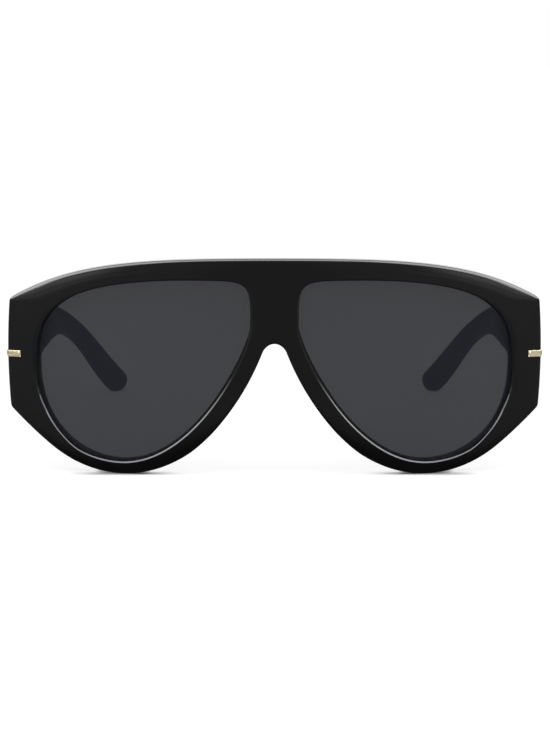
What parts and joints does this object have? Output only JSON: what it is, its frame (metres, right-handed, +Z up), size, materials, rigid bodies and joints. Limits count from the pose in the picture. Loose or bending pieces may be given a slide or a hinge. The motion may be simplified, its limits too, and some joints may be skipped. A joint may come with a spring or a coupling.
{
  "type": "oversized sunglasses",
  "caption": "Oversized flat-top sunglasses with a curved glossy acetate front, dark grey teardrop lenses, small metal corner trims and folding temples with bent tips.",
  "frame": {"origin": "on the table under the middle of the whole object: midway across the front and midway from the front's face to the tips", "axes": "+X to the wearer's left, the front faces -Y, the temples run back along +Y, +Z up"},
  "size_m": [0.149, 0.137, 0.06],
  "materials": {
    "black_acetate": "polished black acetate",
    "grey_lens": "clear dark grey tint, polished",
    "gold_trim": "polished pale gold",
    "hinge_steel": "satin nickel",
    "core_steel": "drawn wire"
  },
  "bodies": {
    "front": {"front_frame": "black_acetate", "lens_left": "grey_lens", "nose_pad_left": "black_acetate", "corner_trim_left": "gold_trim", "hinge_front_leaf_left": "hinge_steel", "hinge_screw_left": "hinge_steel", "hinge_front_rivets_left": "hinge_steel", "lens_right": "grey_lens", "nose_pad_right": "black_acetate", "corner_trim_right": "gold_trim", "hinge_front_leaf_right": "hinge_steel", "hinge_screw_right": "hinge_steel", "hinge_front_rivets_right": "hinge_steel"},
    "left_arm": {"temple_left": "black_acetate", "hinge_temple_leaf_left": "hinge_steel", "hinge_temple_rivets_left": "hinge_steel", "core_wire_left": "core_steel"},
    "right_arm": {"temple_right": "black_acetate", "hinge_temple_leaf_right": "hinge_steel", "hinge_temple_rivets_right": "hinge_steel", "core_wire_right": "core_steel"}
  },
  "joints": [
    {"name": "left_temple_fold", "type": "hinge", "parent": "front", "child": "left_arm", "pos_m": [0.0679, -0.05176, 0.0337], "axis": [0, 0, 1], "range_deg": [0, 82]},
    {"name": "right_temple_fold", "type": "hinge", "parent": "front", "child": "right_arm", "pos_m": [-0.0679, -0.05176, 0.0337], "axis": [0, 0, -1], "range_deg": [0, 70]}
  ]
}
